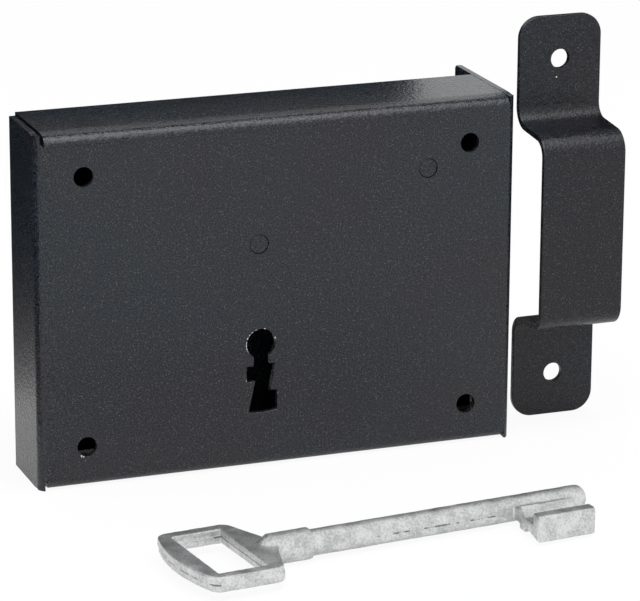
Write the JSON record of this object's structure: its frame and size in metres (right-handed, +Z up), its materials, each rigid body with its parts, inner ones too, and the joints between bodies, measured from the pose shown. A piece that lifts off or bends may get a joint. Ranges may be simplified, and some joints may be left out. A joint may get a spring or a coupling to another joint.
{
  "type": "rim box lock with keep and key",
  "caption": "Rim box lock with a folded black steel case, warded keyhole, lever-held sliding bolt, strap keep and cast bit key.",
  "frame": {"origin": "where the key's axis meets the outer face of the case", "axes": "+X towards the forend and the keep, +Y into the lock towards the door, +Z up"},
  "size_m": [0.1543, 0.1204, 0.1064],
  "materials": {
    "black_coat": "satin black powder coat",
    "steel": "bare pressed steel",
    "spring_steel": "drawn wire",
    "cast_key": "as cast, bare zinc grey"
  },
  "bodies": {
    "lock": {"lock_case": "black_coat", "back_plate": "black_coat", "guide_post": "steel", "pivot_post": "steel", "guide_sleeve": "steel", "cover_screws": "steel", "tumbler_spring": "spring_steel", "keep": "black_coat"},
    "bolt": {"bolt_head": "steel", "bolt_tail": "steel", "bolt_rivets": "steel"},
    "tumbler": {"tumbler": "steel", "tumbler_stump": "steel"},
    "key": {"key": "cast_key"}
  },
  "joints": [
    {"name": "bolt_slide", "type": "slide", "parent": "lock", "child": "bolt", "axis": [1, 0, 0], "range_m": [0, 0.018]},
    {"name": "tumbler_hinge", "type": "hinge", "parent": "lock", "child": "tumbler", "pos_m": [0.044, 0.01745, 0.0412], "axis": [0, 1, 0], "range_deg": [0, 7.8], "deforming": ["tumbler_spring"]},
    {"name": "key_lift", "type": "slide", "parent": "lock", "child": "key", "axis": [0, 0, 1], "range_m": [0, 0.15]}
  ],
  "couplings": [
    {"joint": "tumbler_hinge", "follows": "bolt_slide", "rad_per_m": 7.4965}
  ]
}
